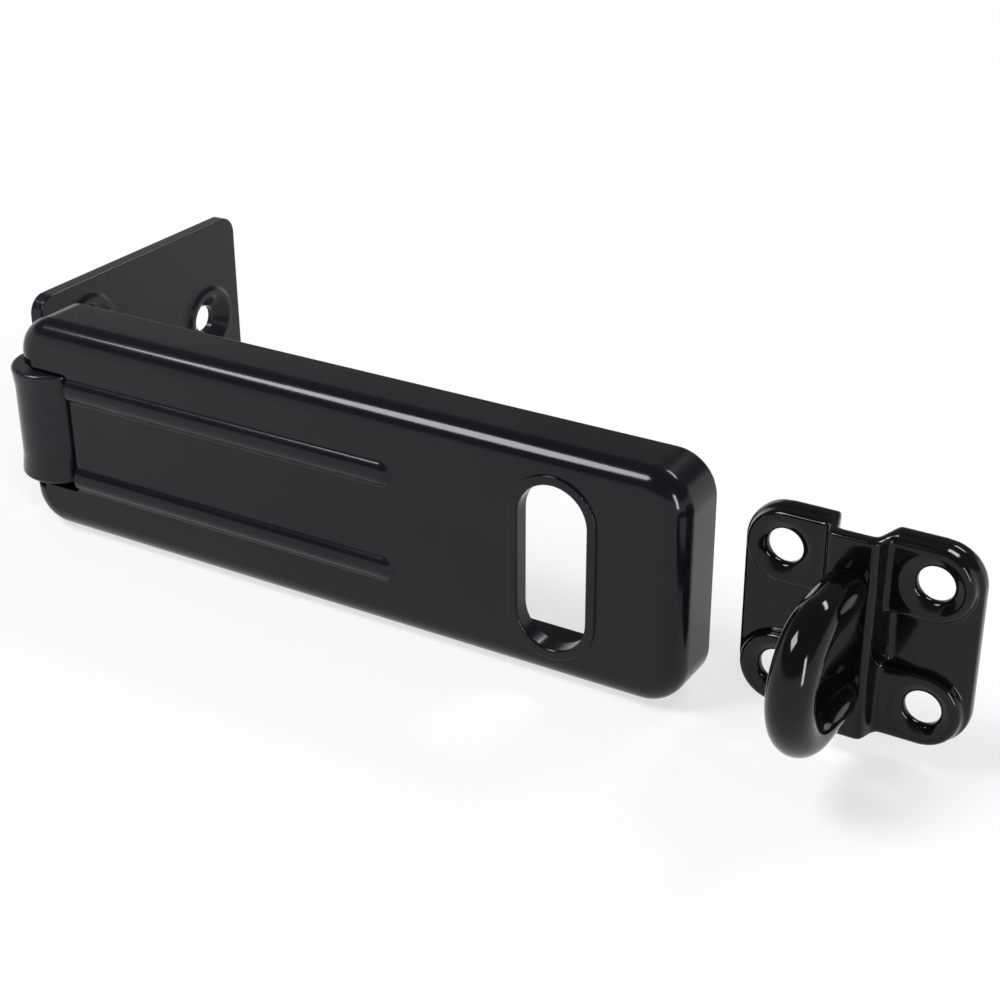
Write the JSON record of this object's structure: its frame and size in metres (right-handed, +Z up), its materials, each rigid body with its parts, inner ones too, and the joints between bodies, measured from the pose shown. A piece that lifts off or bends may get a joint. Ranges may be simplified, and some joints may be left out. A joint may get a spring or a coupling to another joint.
{
  "type": "hasp",
  "caption": "Fixed-staple door hasp: slotted pressed strap rolled onto a curled mounting leaf, with a screw-on plate that carries a round U staple for a padlock.",
  "frame": {"origin": "on the leaf's back face, which lies on the door, midway between its two hinge-side screw holes", "axes": "+Z up along the hinge pin line; +X out of the door face and along the strap in its half-open rest pose; +Y from the hinge to the leaf's far screw hole; the strap's front faces -Y"},
  "size_m": [0.1563, 0.075, 0.035],
  "materials": {
    "black_strap": "satin",
    "black_leaf": "satin",
    "black_plate": "gloss",
    "black_staple": "gloss"
  },
  "bodies": {
    "base": {"mounting_leaf": "black_leaf", "staple_plate": "black_plate", "staple": "black_staple"},
    "strap": {"strap": "black_strap"}
  },
  "joints": [
    {"name": "strap_hinge", "type": "hinge", "parent": "base", "child": "strap", "pos_m": [0.0075, -0.0141, 0], "axis": [0, 0, 1], "range_deg": [-90, 90]}
  ]
}
